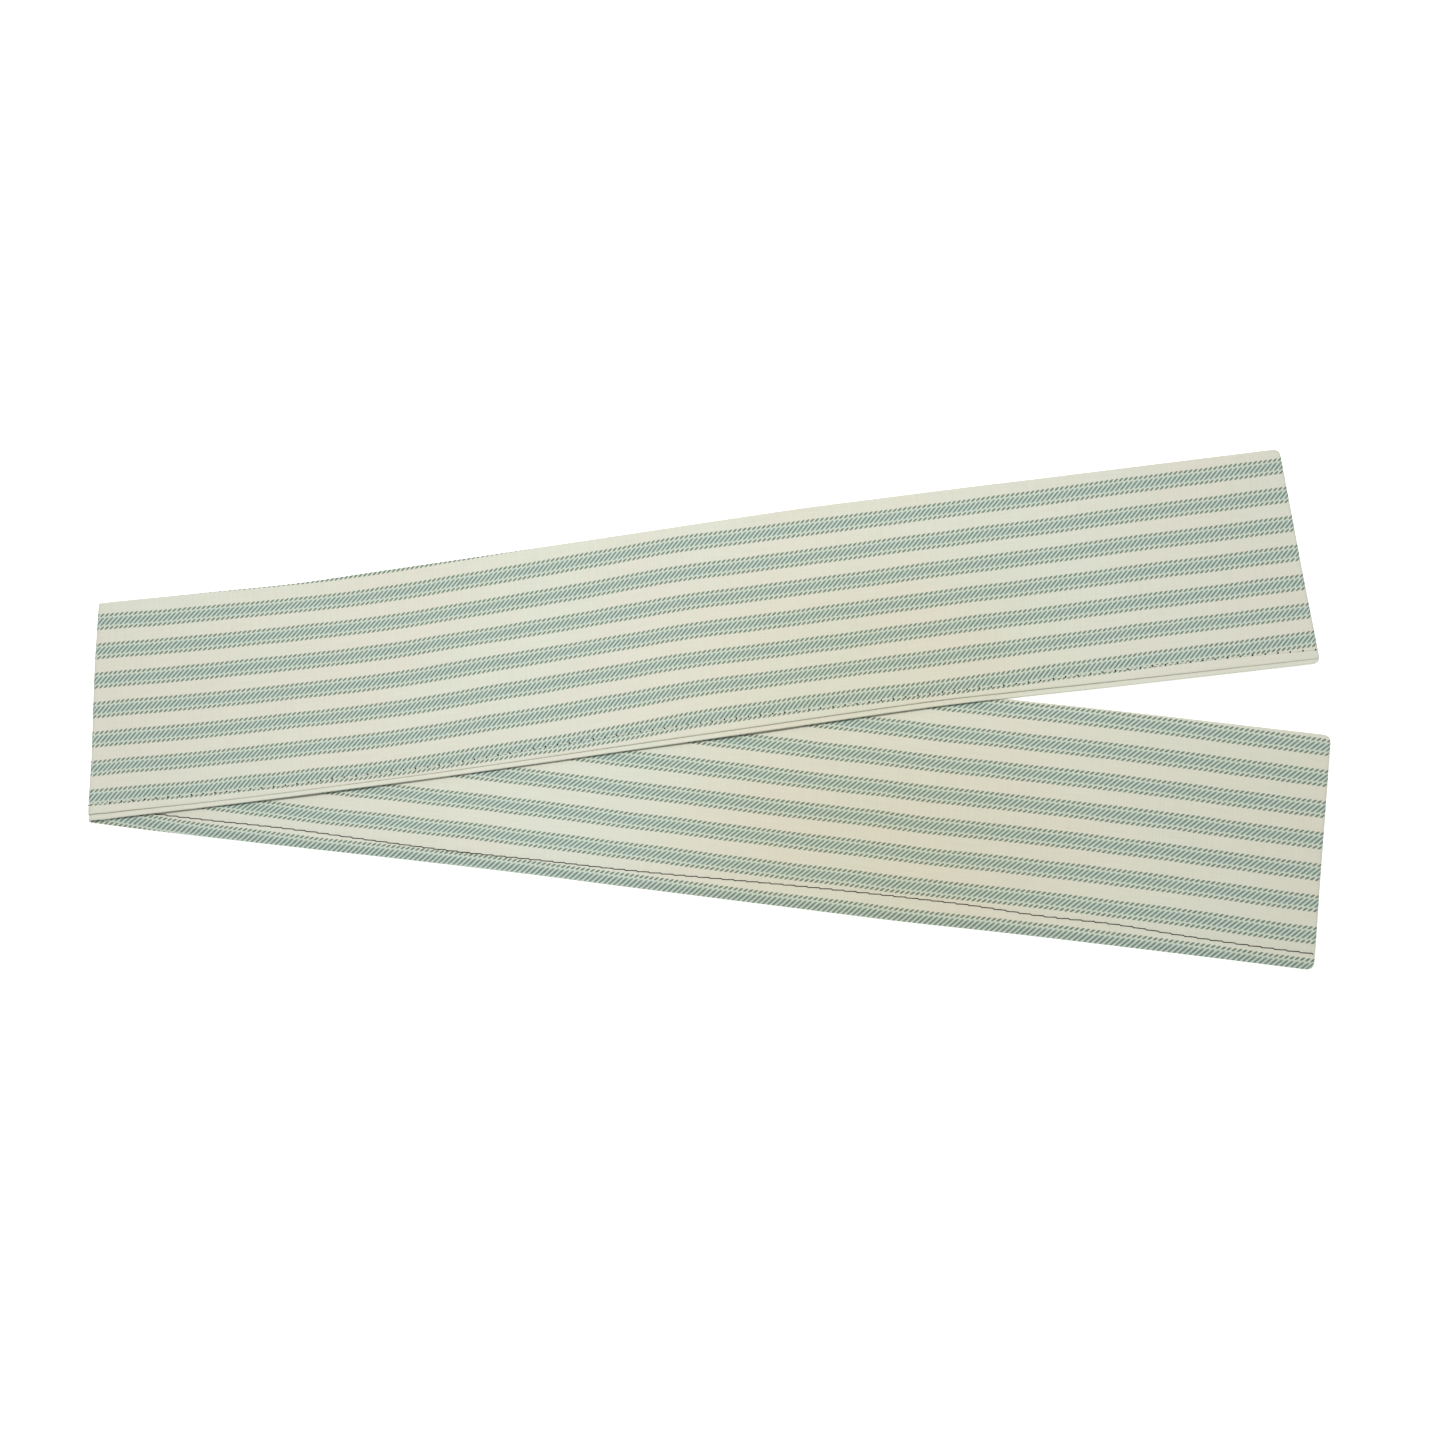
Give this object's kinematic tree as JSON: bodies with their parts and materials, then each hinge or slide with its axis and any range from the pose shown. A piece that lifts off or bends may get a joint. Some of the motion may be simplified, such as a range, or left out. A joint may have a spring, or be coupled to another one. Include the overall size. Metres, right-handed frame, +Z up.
{
  "type": "table runner",
  "caption": "Narrow two-ply striped ticking table runner with a topstitched long edge, folded in half crosswise with its halves fanned apart on a centre-fold hinge.",
  "frame": {"origin": "middle of the folded runner's footprint, on the surface it lies on", "axes": "+Z up; +X from the centre fold towards the two open ends, along the middle of the angle between the halves; Y along the fold line, with the upper half leaning to +Y"},
  "size_m": [0.511, 0.215, 0.0045],
  "materials": {
    "ticking_cloth": "matt woven cotton, cream ground with slate-green ticking stripes",
    "needle_thread": "cream sewing thread",
    "bobbin_thread": "dark olive-grey sewing thread"
  },
  "bodies": {
    "lower_half": {"lower_half_cloth": "ticking_cloth", "centre_fold_cloth": "ticking_cloth", "lower_half_needle_thread": "needle_thread", "lower_half_bobbin_thread": "bobbin_thread", "lower_end_seam_needle_thread": "needle_thread", "lower_end_seam_bobbin_thread": "bobbin_thread"},
    "upper_half": {"upper_half_cloth": "ticking_cloth", "upper_half_needle_thread": "needle_thread", "upper_half_bobbin_thread": "bobbin_thread", "upper_end_seam_needle_thread": "needle_thread", "upper_end_seam_bobbin_thread": "bobbin_thread"}
  },
  "joints": [
    {"name": "centre_fold", "type": "hinge", "parent": "lower_half", "child": "upper_half", "pos_m": [-0.25349, 0, 0.00225], "axis": [0, -1, 0], "range_deg": [0, 180], "deforming": ["centre_fold_cloth"]}
  ]
}
